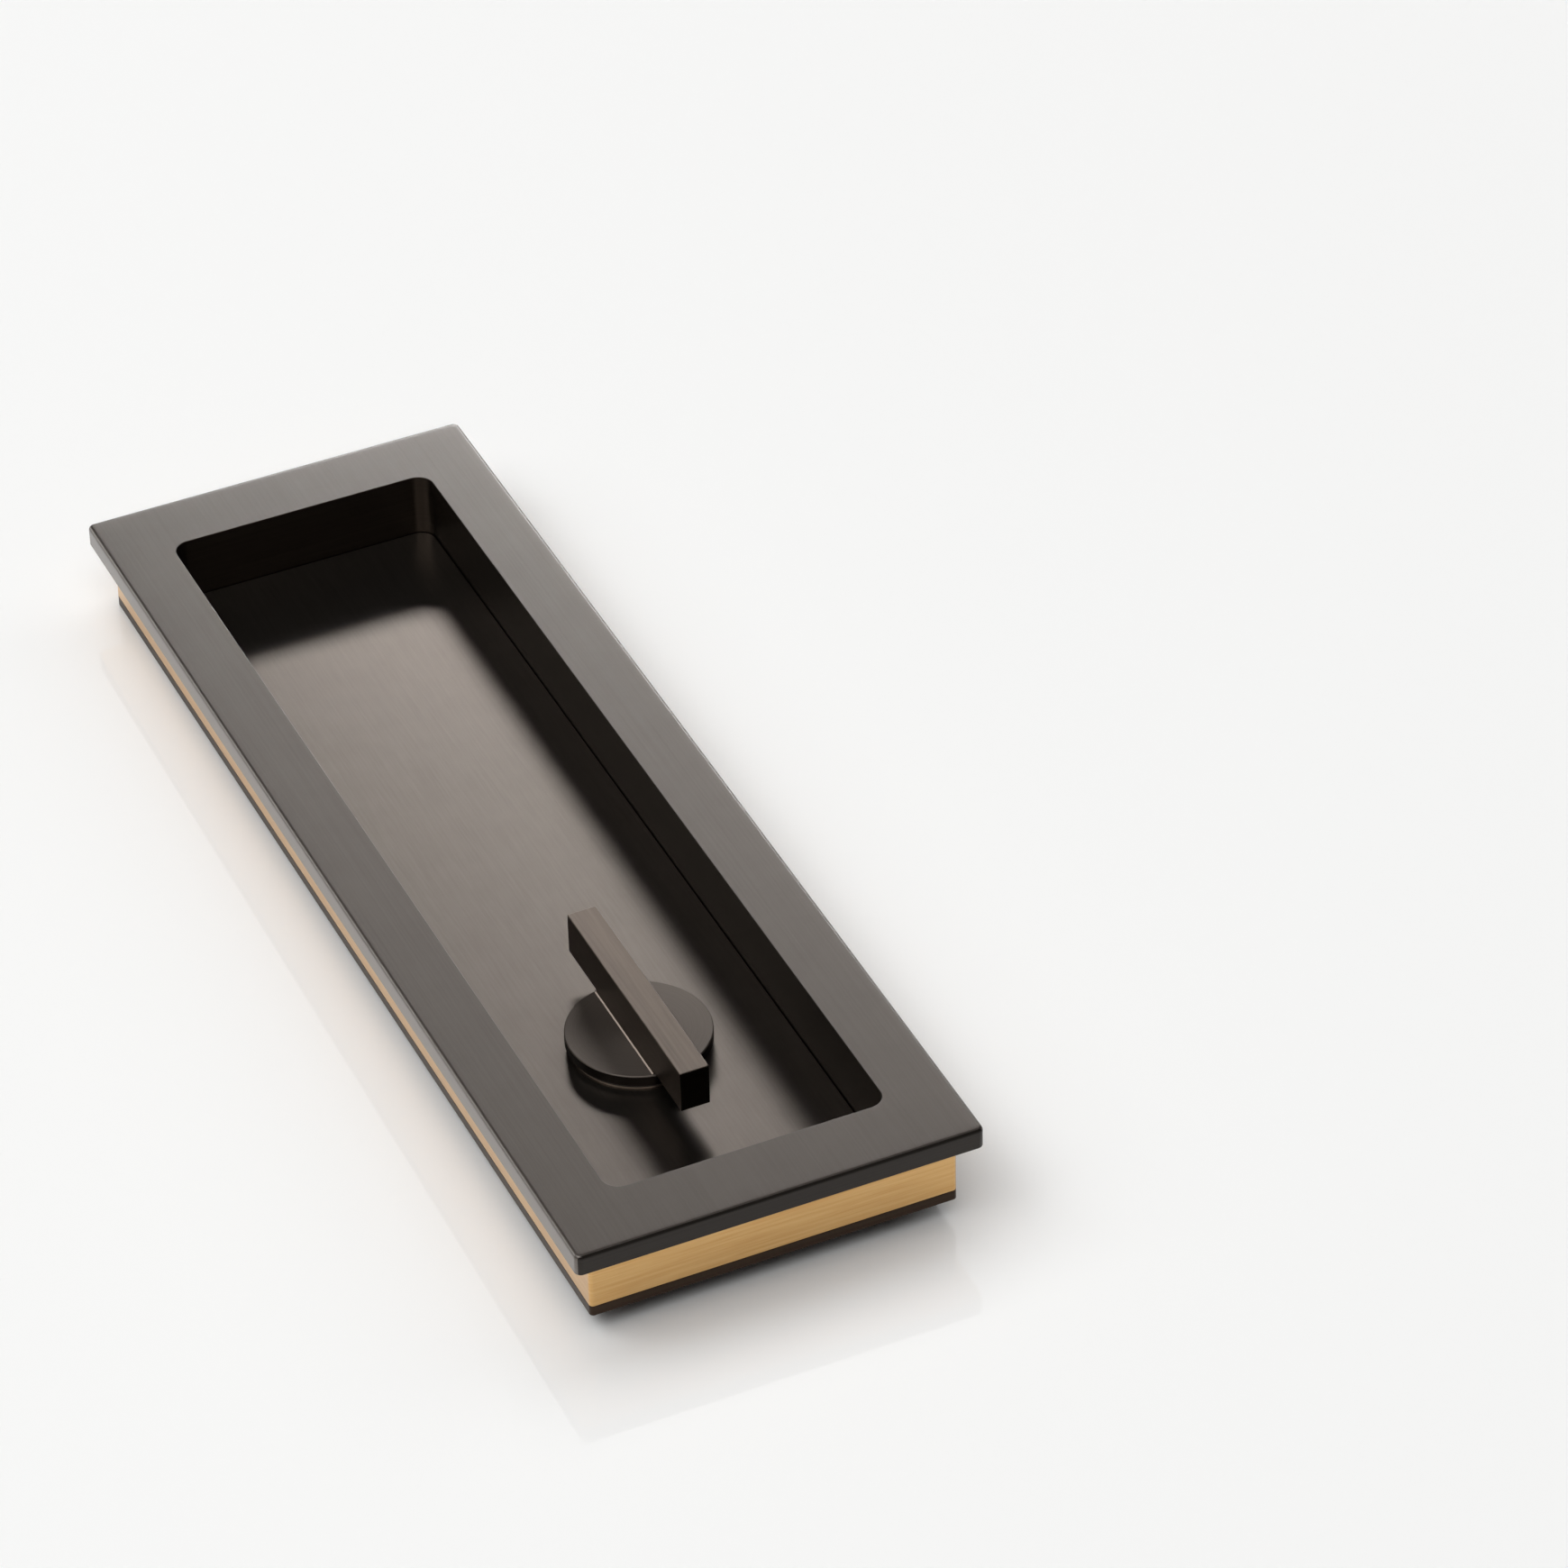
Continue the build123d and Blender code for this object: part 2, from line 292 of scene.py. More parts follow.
@dataclass(frozen=True)
class BrushedMetal:
    """Metal with fine brush lines: they smear reflections one way and streak the tone a little."""

    name: str
    colour: str
    streak: str
    roughness: float
    grain: Grain
    anisotropy: float = 0.0
    smear: Smear = Smear.ACROSS
    lacquer: float = 0.0
    lacquer_roughness: float = 0.2
    # Real brush lines are about 0.1 mm wide. They are drawn coarser, so that they show in the render
    line_width_mm: float = 0.28
    line_length_mm: float = 24.0
    line_depth_mm: float = 0.0008
    # Part of the noise that is stretched to the range from 0 to 1, how broken up it is, and its relief
    line_range: tuple[float, float] = (0.3, 0.7)
    line_breakup: float = 0.6
    relief: float = 0.35
    # Clouds in the patina, and their share of the tone
    cloud_mm: float = 9.0
    cloud_share: float = 0.3
    # Roughness that the lines add and take away
    polish: float = 0.01

    def tone(self, tree: bpy.types.NodeTree) -> tuple[bpy.types.Node, bpy.types.Node]:
        """Draws the brush lines, and soft clouds where the patina took unevenly.

        Args:
            tree: the finish's node tree.

        Returns:
            The lines alone, and lines with clouds, both from 0 to 1.
        """
        reach = np.array(self.grain.value)
        pitch = MM * (self.line_width_mm + reach * (self.line_length_mm - self.line_width_mm))
        place = add_node(tree, "ShaderNodeTexCoord")
        fine = add_node(
            tree, "ShaderNodeMapping", {"Vector": place.outputs["Object"], "Scale": tuple(1.0 / pitch)}
        )
        noise = add_node(
            tree,
            "ShaderNodeTexNoise",
            {"Vector": fine.outputs[0], "Scale": 1.0, "Detail": FINE_DETAIL, "Roughness": self.line_breakup},
        )
        low, high = self.line_range
        lines = add_node(
            tree, "ShaderNodeMapRange", {"Value": noise.outputs[0], "From Min": low, "From Max": high}
        )
        cloud = add_node(
            tree,
            "ShaderNodeTexNoise",
            {"Vector": place.outputs["Object"], "Scale": 1.0 / (self.cloud_mm * MM), "Detail": SOFT_DETAIL},
        )
        both = add_node(
            tree,
            "ShaderNodeMix",
            {SHARE: self.cloud_share, NUMBER_A: lines.outputs[0], NUMBER_B: cloud.outputs[0]},
            data_type="FLOAT",
        )
        return lines, both

    def material(self) -> bpy.types.Material:
        """Builds the finish.

        Returns:
            A material whose lines are noise stretched along the grain, in object space.
        """
        material, tree = new_material(self.name)
        lines, both = self.tone(tree)
        tone = add_node(
            tree,
            "ShaderNodeMix",
            {SHARE: both.outputs[0], COLOUR_A: linear(self.colour), COLOUR_B: linear(self.streak)},
            data_type="RGBA",
        )
        polish = add_node(
            tree,
            "ShaderNodeMapRange",
            {
                "Value": lines.outputs[0],
                "To Min": self.roughness - self.polish,
                "To Max": self.roughness + self.polish,
            },
        )
        relief = add_node(
            tree,
            "ShaderNodeBump",
            {"Height": lines.outputs[0], "Strength": self.relief, "Distance": self.line_depth_mm * MM},
        )
        across = add_node(
            tree,
            "ShaderNodeVectorTransform",
            {0: self.smear.value},
            vector_type="VECTOR",
            convert_from="OBJECT",
            convert_to="WORLD",
        )
        shader = add_node(
            tree,
            "ShaderNodeBsdfPrincipled",
            {
                "Base Color": tone.outputs[MIXED],
                "Metallic": 1.0,
                "Roughness": polish.outputs[0],
                "Anisotropic": self.anisotropy,
                "Coat Weight": self.lacquer,
                "Coat Roughness": self.lacquer_roughness,
                "Normal": relief.outputs[0],
                "Tangent": across.outputs[0],
            },
        )
        add_node(tree, "ShaderNodeOutputMaterial", {"Surface": shader.outputs[0]})
        return material


@dataclass(frozen=True)
class TurnedMetal:
    """Metal from the lathe: faint rings about the turn's axis that catch the light."""

    name: str
    colour: str
    streak: str
    roughness: float
    centre_y_mm: float
    anisotropy: float = 0.0
    # The lathe's feed lines are about 0.05 mm wide. They are drawn coarser, so that they show in the render
    ring_width_mm: float = 0.12
    ring_depth_mm: float = 0.002
    relief: float = 0.4
    # Slight rise of the sheen's direction, which keeps it off an upright face's normal
    rise_mm: float = 0.2

    def material(self) -> bpy.types.Material:
        """Builds the finish.

        Returns:
            A material whose rings are noise of the distance from the axis and of the height.
        """
        material, tree = new_material(self.name)
        place = add_node(tree, "ShaderNodeTexCoord")
        centred = add_node(
            tree,
            "ShaderNodeMapping",
            {"Vector": place.outputs["Object"], "Location": (0.0, -self.centre_y_mm * MM, 0.0)},
        )
        flat = add_node(
            tree, "ShaderNodeVectorMath", {0: centred.outputs[0], 1: (1.0, 1.0, 0.0)}, operation="MULTIPLY"
        )
        radius = add_node(tree, "ShaderNodeVectorMath", {0: flat.outputs[0]}, operation="LENGTH")
        height = add_node(tree, "ShaderNodeSeparateXYZ", {0: centred.outputs[0]})
        both = add_node(
            tree, "ShaderNodeMath", {0: radius.outputs["Value"], 1: height.outputs["Z"]}, operation="ADD"
        )
        rings = add_node(
            tree,
            "ShaderNodeTexNoise",
            {"W": both.outputs[0], "Scale": 1.0 / (self.ring_width_mm * MM), "Detail": SOFT_DETAIL},
            noise_dimensions="1D",
        )
        tone = add_node(
            tree,
            "ShaderNodeMix",
            {SHARE: rings.outputs[0], COLOUR_A: linear(self.colour), COLOUR_B: linear(self.streak)},
            data_type="RGBA",
        )
        relief = add_node(
            tree,
            "ShaderNodeBump",
            {"Height": rings.outputs[0], "Strength": self.relief, "Distance": self.ring_depth_mm * MM},
        )
        # The sheen spreads away from the axis
        raised = add_node(
            tree,
            "ShaderNodeVectorMath",
            {0: flat.outputs[0], 1: (0.0, 0.0, self.rise_mm * MM)},
            operation="ADD",
        )
        away = add_node(
            tree,
            "ShaderNodeVectorTransform",
            {0: raised.outputs[0]},
            vector_type="VECTOR",
            convert_from="OBJECT",
            convert_to="WORLD",
        )
        outward = add_node(tree, "ShaderNodeVectorMath", {0: away.outputs[0]}, operation="NORMALIZE")
        shader = add_node(
            tree,
            "ShaderNodeBsdfPrincipled",
            {
                "Base Color": tone.outputs[MIXED],
                "Metallic": 1.0,
                "Roughness": self.roughness,
                "Anisotropic": self.anisotropy,
                "Normal": relief.outputs[0],
                "Tangent": outward.outputs[0],
            },
        )
        add_node(tree, "ShaderNodeOutputMaterial", {"Surface": shader.outputs[0]})
        return material


@dataclass(frozen=True)
class MouldedNylon:
    """Moulded nylon: a soft sheen with a fine mould grain."""

    name: str
    colour: str
    speck: str
    roughness: float
    grit_mm: float = 0.15
    grit_depth_mm: float = 0.005
    relief: float = 0.2
    ior: float = 1.53

    def material(self) -> bpy.types.Material:
        """Builds the finish.

        Returns:
            A plastic whose tone and relief vary with a fine grit.
        """
        material, tree = new_material(self.name)
        place = add_node(tree, "ShaderNodeTexCoord")
        grit = add_node(
            tree,
            "ShaderNodeTexNoise",
            {"Vector": place.outputs["Object"], "Scale": 1.0 / (self.grit_mm * MM), "Detail": SOFT_DETAIL},
        )
        tone = add_node(
            tree,
            "ShaderNodeMix",
            {SHARE: grit.outputs[0], COLOUR_A: linear(self.colour), COLOUR_B: linear(self.speck)},
            data_type="RGBA",
        )
        relief = add_node(
            tree,
            "ShaderNodeBump",
            {"Height": grit.outputs[0], "Strength": self.relief, "Distance": self.grit_depth_mm * MM},
        )
        shader = add_node(
            tree,
            "ShaderNodeBsdfPrincipled",
            {
                "Base Color": tone.outputs[MIXED],
                "Roughness": self.roughness,
                "IOR": self.ior,
                "Normal": relief.outputs[0],
            },
        )
        add_node(tree, "ShaderNodeOutputMaterial", {"Surface": shader.outputs[0]})
        return material


@dataclass(frozen=True)
class WhiteTable:
    """Glossy white studio table: pale, with a faint mirror image of what stands on it."""

    name: str = "white_acrylic_table"
    colour: str = "#fbfbfa"
    roughness: float = 0.03
    ior: float = 1.49

    def material(self) -> bpy.types.Material:
        """Builds the finish.

        Returns:
            A plain plastic with a clear gloss.
        """
        material, tree = new_material(self.name)
        shader = add_node(
            tree,
            "ShaderNodeBsdfPrincipled",
            {"Base Color": linear(self.colour), "Roughness": self.roughness, "IOR": self.ior},
        )
        add_node(tree, "ShaderNodeOutputMaterial", {"Surface": shader.outputs[0]})
        return material


@dataclass
class Finishes:
    """All the finishes of the pull, made once and shared by its pieces."""

    turn_y: float
    bronze_face: bpy.types.Material = field(init=False)
    bronze_side: bpy.types.Material = field(init=False)
    bronze_end_painted_shade: bpy.types.Material = field(init=False)
    bronze_floor: bpy.types.Material = field(init=False)
    bronze_wall_painted_shade: bpy.types.Material = field(init=False)
    bronze_rim_painted_shade: bpy.types.Material = field(init=False)
    bronze_blade: bpy.types.Material = field(init=False)
    bronze_disc: bpy.types.Material = field(init=False)
    bronze_edge: bpy.types.Material = field(init=False)
    bronze_bush_painted_highlight: bpy.types.Material = field(init=False)
    raw_brass: bpy.types.Material = field(init=False)
    turned_brass: bpy.types.Material = field(init=False)
    nylon: bpy.types.Material = field(init=False)
    spring_steel: bpy.types.Material = field(init=False)

    def __post_init__(self) -> None:
        """Makes each finish's material."""
        # Patinated bronze under thin lacquer: a dull dark body with a sheen that fades to the front
        self.bronze_face = BrushedMetal(
            "lacquered_patina_bronze", "#605954", "#6c655f", roughness=0.5, grain=Grain.ALONG,
            lacquer=0.76, lacquer_roughness=0.23, cloud_mm=6.0, cloud_share=0.5,
        ).material()
        # The same on the flange's long sides, but smoother: pale at a flat angle, where they mirror the table
        self.bronze_side = BrushedMetal(
            "lacquered_patina_side", "#655d57", "#716962", roughness=0.5, grain=Grain.ROUND,
            lacquer=1.0, lacquer_roughness=0.18,
        ).material()
        # Flange's ends: nearly black, as painted shade: a darker copy of the long sides' bronze, standing for
        # the shaded table that the ends mirror
        self.bronze_end_painted_shade = BrushedMetal(
            "lacquered_patina_end_painted_shade", "#2c2723", "#322d29", roughness=0.5, grain=Grain.ROUND,
            lacquer=0.35, lacquer_roughness=0.18,
        ).material()
        # Smooth bronze of the recess floor: bright where it faces the lamp, near black in the walls' shade
        self.bronze_floor = BrushedMetal(
            "dark_bronze_satin", "#736b64", "#7e766f", roughness=0.33, grain=Grain.ALONG,
            anisotropy=0.5, smear=Smear.ALONG, line_length_mm=9.0, cloud_mm=4.0, cloud_share=0.5,
        ).material()
        # Bronze of the recess walls, darker than the floor: painted shade that deepens the recess
        self.bronze_wall_painted_shade = BrushedMetal(
            "dark_bronze_wall", "#534c46", "#5c554e", roughness=0.3, grain=Grain.ROUND
        ).material()
        # Brown bronze on the plate's cut edge and back, darker still: painted shade of the low edge under the
        # brass band
        self.bronze_rim_painted_shade = BrushedMetal(
            "dark_bronze_rim", "#3a2e26", "#453930", roughness=0.36, grain=Grain.ROUND
        ).material()
        # Bronze of the blade, brushed along it with plain streaks
        self.bronze_blade = BrushedMetal(
            "dark_bronze_blade", "#6a6159", "#7e7269", roughness=0.32, grain=Grain.ALONG,
            anisotropy=0.4, smear=Smear.ALONG, line_width_mm=0.45, line_length_mm=18.0,
        ).material()
        # Face of the disc, from the lathe: dull, its sheen drawn out from the middle
        self.bronze_disc = TurnedMetal(
            "dark_bronze_faced", "#6e6660", "#7c746d", roughness=0.58, centre_y_mm=self.turn_y, anisotropy=0.3
        ).material()
        # Edge of the disc and ends of the blade: nearly black as painted shade, standing for the shaded floor
        # that they mirror, with a tight sheen
        self.bronze_edge = TurnedMetal(
            "painted_shade_bronze_edge", "#2a2725", "#33302d", roughness=0.2, centre_y_mm=self.turn_y
        ).material()
        # Bronze of the bush, lightened as a painted highlight: its flange is the light line under the disc,
        # standing for the lit floor that it mirrors
        self.bronze_bush_painted_highlight = TurnedMetal(
            "turned_bronze_painted_highlight", "#a59a90", "#b2a79c", roughness=0.3, centre_y_mm=self.turn_y
        ).material()
        # Bare brass of the outer walls, brushed round the body: warm, with light and dark streaks
        self.raw_brass = BrushedMetal(
            "raw_brass_brushed", "#cc9b57", "#dfb676", roughness=0.34, grain=Grain.ROUND,
            lacquer=0.8, lacquer_roughness=0.12, line_width_mm=0.4, line_length_mm=12.0,
        ).material()
        # Turned brass of the nut and screws: bright and warm, with faint rings
        self.turned_brass = TurnedMetal(
            "turned_brass", "#cfa35f", "#dab272", roughness=0.24, centre_y_mm=self.turn_y
        ).material()
        # Nylon of the thrust washer, darkened as painted shade: the dark line between the disc and the bush
        self.nylon = MouldedNylon("nylon_washer_painted_shade", "#4a4743", "#54504b", roughness=0.38).material()
        # Phosphated spring steel: dark grey with a dull sheen
        self.spring_steel = TurnedMetal(
            "phosphated_spring_steel", "#55565a", "#606165", roughness=0.4, centre_y_mm=self.turn_y
        ).material()


def face_middles(piece: bpy.types.Object) -> np.ndarray:
    """Reads where a piece's faces lie.

    Args:
        piece: the piece.

    Returns:
        Three rows, the x, y and z of the faces' middles.
    """
    middles = np.zeros(3 * len(piece.data.polygons))
    piece.data.polygons.foreach_get("center", middles)
    return middles.reshape(-1, 3).T / MM


def dress(
    piece: bpy.types.Object,
    node: str,
    body: str,
    finish: bpy.types.Material,
    others: tuple[tuple[bpy.types.Material, np.ndarray], ...] = (),
) -> None:
    """Gives a piece its finishes, and its place on the frame.

    Args:
        piece: the finished piece.
        node: the solid that it stands for.
        body: the body that it moves with.
        finish: its main finish.
        others: further finishes, each with the faces that have it. A later one covers an earlier one.
    """
    piece.data.materials.append(finish)
    index = np.zeros(len(piece.data.polygons), np.int32)
    for place, (other, faces) in enumerate(others, 1):
        piece.data.materials.append(other)
        index[faces] = place
    piece.data.polygons.foreach_set("material_index", index)
    smooth(piece)
    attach(piece, body)
    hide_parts(node)
    LOG.info("%s: %d faces, on %s", piece.name, len(piece.data.polygons), body)


def dress_solid(node: str, material: bpy.types.Material) -> None:
    """Gives a carried-over solid its finish.

    Args:
        node: name of the solid's node.
        material: its finish.
    """
    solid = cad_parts[node]
    for slot in solid.material_slots:
        slot.material = material
    LOG.info("%s: solid kept", node)


@dataclass(frozen=True)
class CountersunkHoles:
    """Holes for the countersunk screws of one node, heads down."""

    node: str
    diameter: float
    head_diameter: float
    clearance: float = 0.05

    def tools(self) -> list[bpy.types.Object]:
        """Makes the holes' shapes: each axis stands one head radius inside a corner of the screws' box.

        Returns:
            Closed shapes, each a cone for the head and a shank above it.
        """
        low, high = box_mm(self.node)
        shank, head = self.diameter / 2 + self.clearance, self.head_diameter / 2 + self.clearance
        inset = self.head_diameter / 2
        # Rounded to 4 decimals, so that screws in one line give one place across it and not two
        across, along = (np.unique(np.round([low[i] + inset, high[i] - inset], 4)) for i in (0, 1))
        outline = np.array([
            (head + self.clearance, low[2] - self.clearance),
            (shank, low[2] + head - shank),
            (shank, high[2] + self.clearance),
        ])
        return [
            add_surface("screw_hole", turned_rings(outline, (x, y), HOLE_STEPS), closed=False)
            for x in across for y in along
        ]


BASE_SCREWS = CountersunkHoles("base_plate_screws", 2.5, 4.6)
BLADE_SCREWS = CountersunkHoles("blade_screws", 2.0, 3.6)


@dataclass
class PullFrame:
    """Flange and recess walls, one piece: bronze where it shows, bare brass inside the door."""

    finishes: Finishes
    end_border: float = 10.5
    side_border: float = 9.25
    flange_corner: float = 1.0
    wall_corner: float = 0.6
    recess_corner: float = 2.5
    top_edge: float = 0.6
    roll_width: float = 3.6
    roll_drop: float = 0.02
    mouth_edge: float = 0.1
    fine_edge: float = 0.12
    bolt_core: float = 3.3
    bolt_depth: float = 7.0
    # How far outside the recess's outline a face still counts as one of its own
    mouth_margin: float = 0.5
    half_flange: np.ndarray = field(init=False)
    half_wall: np.ndarray = field(init=False)
    half_recess: np.ndarray = field(init=False)
    face_z: float = field(init=False)
    wall_end_z: float = field(init=False)

    def __post_init__(self) -> None:
        """Reads the levels and outlines from the frame."""
        low, high = box_mm("frame")
        self.half_flange = high[:2]
        self.face_z, self.wall_end_z = high[2], low[2]
        self.half_wall = box_mm("base_plate")[1][:2]
        self.half_recess = self.half_flange - (self.side_border, self.end_border)

    def rolled_face(self) -> np.ndarray:
        """Rolls the face off towards its edge, as brushing does.

        The height falls by roll_drop * (1 - inset / roll_width) ** 2, for insets up to the roll's width.

        Returns:
            Rows of half width, half length, corner radius and height, from the edge's rounding inwards.
        """
        inset = np.linspace(self.top_edge, self.roll_width, EDGE_STEPS + 1)[:, None]
        face = np.array([*self.half_flange, self.flange_corner, self.face_z])
        rows = face - OUTWARD * inset - UPWARD * self.roll_drop * (1 - inset / self.roll_width) ** 2
        rows[:, 2] = self.flange_corner - self.top_edge
        return rows

    def stations(self) -> np.ndarray:
        """Lists the section's outline: up the outer wall, out under the flange, over it and into the recess.

        Returns:
            Rows of half width, half length, corner radius and height, as a closed loop.
        """
        wall_foot = np.array([*self.half_wall, self.wall_corner, self.wall_end_z])
        wall_top = np.array([*self.half_wall, self.wall_corner, 0.0])
        flange_under = np.array([*self.half_flange, self.flange_corner, 0.0])
        roll = self.rolled_face()
        flange_top = np.array([*self.half_flange, self.flange_corner, roll[0, 3]])
        mouth = np.array([*self.half_recess, self.recess_corner, self.face_z])
        recess_foot = np.array([*self.half_recess, self.recess_corner, self.wall_end_z])
        return np.concatenate([
            bend(wall_foot, OUTWARD, UPWARD, self.fine_edge),
            bend(wall_top, UPWARD, OUTWARD, self.fine_edge),
            bend(flange_under, OUTWARD, UPWARD, self.fine_edge),
            bend(flange_top, UPWARD, -OUTWARD, self.top_edge),
            roll[1:],
            bend(mouth, -OUTWARD, -UPWARD, self.mouth_edge),
            bend(recess_foot, -UPWARD, OUTWARD, self.fine_edge),
        ])

    def bolt_holes(self) -> list[bpy.types.Object]:
        """Makes the shapes of the two tapping holes in the middles of the end walls.

        Returns:
            Closed shapes to cut out.
        """
        middle_y = (self.half_wall[1] + self.half_recess[1]) / 2
        core = np.array([
            (self.bolt_core / 2, self.wall_end_z - CUT_PAST),
            (self.bolt_core / 2, self.wall_end_z + self.bolt_depth),
        ])
        return [
            add_surface("bolt_core", turned_rings(core, (0.0, y), HOLE_STEPS), closed=False)
            for y in (-middle_y, middle_y)
        ]

    def build(self) -> None:
        """Makes the piece, with bronze and brass each on their own faces."""
        piece = add_surface("pull_frame", rectangle_rings(self.stations()), closed=True)
        carve(piece, self.bolt_holes() + BASE_SCREWS.tools(), Carving.CUT)
        x, y, z = face_middles(piece)
        recess_x, recess_y = self.half_recess + self.mouth_margin
        inside = (np.abs(x) < recess_x) & (np.abs(y) < recess_y)
        brass = ~inside & (z < self.fine_edge / 2)
        # The recess walls, which get the painted shade of the darker bronze
        wall = inside & (z < self.face_z - self.mouth_edge)
        across, along = np.abs(x) - self.half_flange[0], np.abs(y) - self.half_flange[1]
        side = ~brass & (np.maximum(across, along) > -self.top_edge / 2)
        others = (
            (self.finishes.raw_brass, brass),
            (self.finishes.bronze_wall_painted_shade, wall),
            (self.finishes.bronze_side, side),
            # The ends take the painted shade; the long sides keep the lighter copy
            (self.finishes.bronze_end_painted_shade, side & (along > across)),
        )
        dress(piece, "frame", "body", self.finishes.bronze_face, others)


@dataclass
class BasePlate:
    """Plate under the walls: its raised pad is the recess floor."""

    finishes: Finishes
    turn_y: float
    pad_inset: float = 0.12
    rim_corner: float = 0.6
    pad_corner: float = 2.38
    fine_edge: float = 0.12
    foot_edge: float = 0.05
    bush_hole: float = 14.2
    nut_hole: float = 19.2
    bolt_hole: float = 4.5

    def stations(self) -> np.ndarray:
        """Lists the plate's outline from its back to its pad.

        Returns:
            Rows of half width, half length, corner radius and height.
        """
        low, high = box_mm("base_plate")
        wall_end_z = box_mm("frame")[0][2]
        half_rim = high[:2]
        half_flange = box_mm("frame")[1][:2]
        half_pad = half_flange - (PullFrame.side_border, PullFrame.end_border) - self.pad_inset
        back = np.array([*half_rim, self.rim_corner, low[2]])
        rim = np.array([*half_rim, self.rim_corner, wall_end_z])
        pad_foot = np.array([*half_pad, self.pad_corner, wall_end_z])
        pad = np.array([*half_pad, self.pad_corner, high[2]])
        return np.concatenate([
            bend(back, OUTWARD, UPWARD, self.fine_edge),
            bend(rim, UPWARD, -OUTWARD, self.foot_edge),
            bend(pad_foot, -OUTWARD, UPWARD, self.foot_edge),
            bend(pad, UPWARD, -OUTWARD, self.fine_edge),
        ])

    def holes(self) -> list[bpy.types.Object]:
        """Makes the shapes of the turn's stepped hole and of the two bolt holes.

        Returns:
            Closed shapes to cut out.
        """
        low, high = box_mm("base_plate")
        nut_seat_z = box_mm("bush_nut")[1][2]
        bolt_y = (high[1] + box_mm("frame")[1][1] - PullFrame.end_border) / 2
        start_z, end_z = low[2] - CUT_PAST, high[2] + CUT_PAST
        stepped = np.array([
            (self.nut_hole / 2, start_z),
            (self.nut_hole / 2, nut_seat_z),
            (self.bush_hole / 2, nut_seat_z),
            (self.bush_hole / 2, end_z),
        ])
        bolt = np.array([(self.bolt_hole / 2, start_z), (self.bolt_hole / 2, end_z)])
        turn_hole = add_surface("turn_hole", turned_rings(stepped, (0.0, self.turn_y)), closed=False)
        bolt_holes = [
            add_surface("bolt_hole", turned_rings(bolt, (0.0, y), HOLE_STEPS), closed=False)
            for y in (-bolt_y, bolt_y)
        ]
        return [turn_hole, *bolt_holes]

    def build(self) -> None:
        """Makes the piece, with the rim and back darker than the pad: painted shade."""
        piece = add_surface("base_plate_satin", rectangle_rings(self.stations()), closed=False)
        carve(piece, self.holes() + BASE_SCREWS.tools(), Carving.CUT)
        # The rim and back get the painted shade
        rim = face_middles(piece)[2] < box_mm("frame")[0][2] + self.fine_edge
        others = ((self.finishes.bronze_rim_painted_shade, rim),)
        dress(piece, "base_plate", "body", self.finishes.bronze_floor, others)


@dataclass
class TurnBearing:
    """Bush, washers, nut and ring that carry the thumb turn."""

    finishes: Finishes
    turn_y: float
    bush_bore: float = 10.08
    barrel: float = 14.0
    fine_edge: float = 0.08

    def build(self) -> None:
        """Makes the bush and dresses the solids round it."""
        low, high = box_mm("turn_bush")
        floor_z = box_mm("base_plate")[1][2]
        flange_r = high[0]
        barrel_r, bore_r = self.barrel / 2, self.bush_bore / 2
        edge = self.fine_edge
        section = np.concatenate([
            bend(np.array([barrel_r, low[2]]), AWAY, RISE, edge),
            bend(np.array([barrel_r, floor_z]), RISE, AWAY, edge),
            bend(np.array([flange_r, floor_z]), AWAY, RISE, edge),
            bend(np.array([flange_r, high[2]]), RISE, -AWAY, edge),
            bend(np.array([bore_r, high[2]]), -AWAY, -RISE, edge),
            bend(np.array([bore_r, low[2]]), -RISE, AWAY, edge),
        ])
        bush = add_surface("bearing_bush", turned_rings(section, (0.0, self.turn_y)), closed=True)
        # The bush's pale tone is a painted highlight
        dress(bush, "turn_bush", "body", self.finishes.bronze_bush_painted_highlight)
        # The washer's dark tone is painted shade
        dress_solid("thrust_washer", self.finishes.nylon)
        dress_solid("bush_nut", self.finishes.turned_brass)
        for node in ("spring_washer", "plain_washer", "retaining_ring"):
            dress_solid(node, self.finishes.spring_steel)
        for node in ("base_plate_screws", "blade_screws"):
            dress_solid(node, self.finishes.turned_brass)


